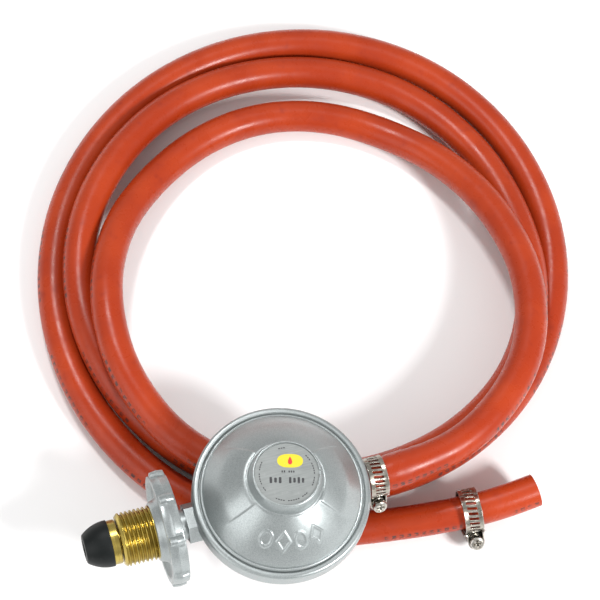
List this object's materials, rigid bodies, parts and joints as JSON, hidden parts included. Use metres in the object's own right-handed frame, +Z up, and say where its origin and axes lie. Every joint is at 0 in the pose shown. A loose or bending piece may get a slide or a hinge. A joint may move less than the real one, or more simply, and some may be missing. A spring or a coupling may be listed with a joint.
{
  "type": "propane regulator hose",
  "caption": "Low-pressure gas regulator with a handwheel inlet and rubber nose seal, on a loosely coiled orange gas hose with worm-drive clamps.",
  "frame": {"origin": "front end of the inlet thread, on the axis that inlet and outlet share", "axes": "+X along the inlet axis from the inlet to the outlet, +Z up through the spring boss"},
  "size_m": [0.255, 0.272, 0.0767],
  "materials": {
    "silver_casting": "satin silver paint over a zinc casting, fine grain",
    "label": "satin printed aluminium disc",
    "brass": "turned brass with fine tool marks",
    "filter_bronze": "sintered bronze",
    "black_rubber": "moulded nitrile rubber",
    "clamp_steel": "bright pressed steel strip",
    "plated_steel": "zinc-plated steel",
    "spring_steel": "oiled spring wire",
    "fibre": "red vulcanised fibre",
    "black_plastic": "moulded acetal",
    "orange_hose": "smooth orange gas hose with a slight sheen"
  },
  "bodies": {
    "regulator": {"lower_body": "silver_casting", "top_cover": "silver_casting", "label_plate": "label", "diaphragm": "black_rubber", "main_spring": "spring_steel", "adjusting_screw": "black_plastic", "inlet_jet": "brass", "lever_pin": "plated_steel", "inlet_nipple": "brass", "inlet_filter": "filter_bronze", "seal_washer": "fibre", "nose_seal": "black_rubber", "outlet_clamp_band": "clamp_steel", "outlet_clamp_housing": "clamp_steel", "hose_end": "orange_hose", "hose_turn_1": "orange_hose", "hose_turn_2": "orange_hose", "hose_turn_3": "orange_hose", "hose_tail": "orange_hose"},
    "handwheel": {"handwheel": "silver_casting", "thread_sleeve": "brass"},
    "outlet_screw": {"outlet_clamp_screw": "clamp_steel"},
    "loose_clamp": {"loose_clamp_band": "clamp_steel", "loose_clamp_housing": "clamp_steel"},
    "loose_screw": {"loose_clamp_screw": "clamp_steel"},
    "diaphragm_unit": {"diaphragm_plate": "plated_steel", "diaphragm_stem": "plated_steel", "stem_nut": "plated_steel"},
    "lever": {"lever": "plated_steel"},
    "valve": {"valve_slider": "black_plastic", "valve_pad": "black_rubber"}
  },
  "joints": [
    {"name": "handwheel_spin", "type": "hinge", "parent": "regulator", "child": "handwheel", "pos_m": [0.019, 0, 0], "axis": [1, 0, 0], "continuous": true},
    {"name": "outlet_screw_turn", "type": "hinge", "parent": "regulator", "child": "outlet_screw", "pos_m": [0.1118, -0.0056, -0.01052], "axis": [0, 0.8829, -0.4695], "continuous": true},
    {"name": "loose_clamp_slide", "type": "slide", "parent": "regulator", "child": "loose_clamp", "axis": [0.9927, -0.0607, 0.1045], "range_m": [-0.008, 0.015]},
    {"name": "loose_screw_turn", "type": "hinge", "parent": "loose_clamp", "child": "loose_screw", "pos_m": [0.15357, -0.02803, -0.03394], "axis": [0.1192, 0.6367, -0.7618], "continuous": true},
    {"name": "diaphragm_lift", "type": "slide", "parent": "regulator", "child": "diaphragm_unit", "axis": [0, 0, 1], "range_m": [0, 0.0014], "stiffness_N_per_m": 900, "springref_m": -0.004, "deforming": ["main_spring", "diaphragm"]},
    {"name": "lever_tilt", "type": "hinge", "parent": "regulator", "child": "lever", "pos_m": [0.0525, 0, -0.0054], "axis": [0, 1, 0], "range_deg": [-4.9, 0.1]},
    {"name": "valve_slide", "type": "slide", "parent": "regulator", "child": "valve", "axis": [1, 0, 0], "range_m": [-0.00046, 0.00001]}
  ],
  "couplings": [
    {"joint": "lever_tilt", "follows": "diaphragm_lift", "rad_per_m": -58.824},
    {"joint": "valve_slide", "follows": "diaphragm_lift", "ratio": -0.31765}
  ]
}
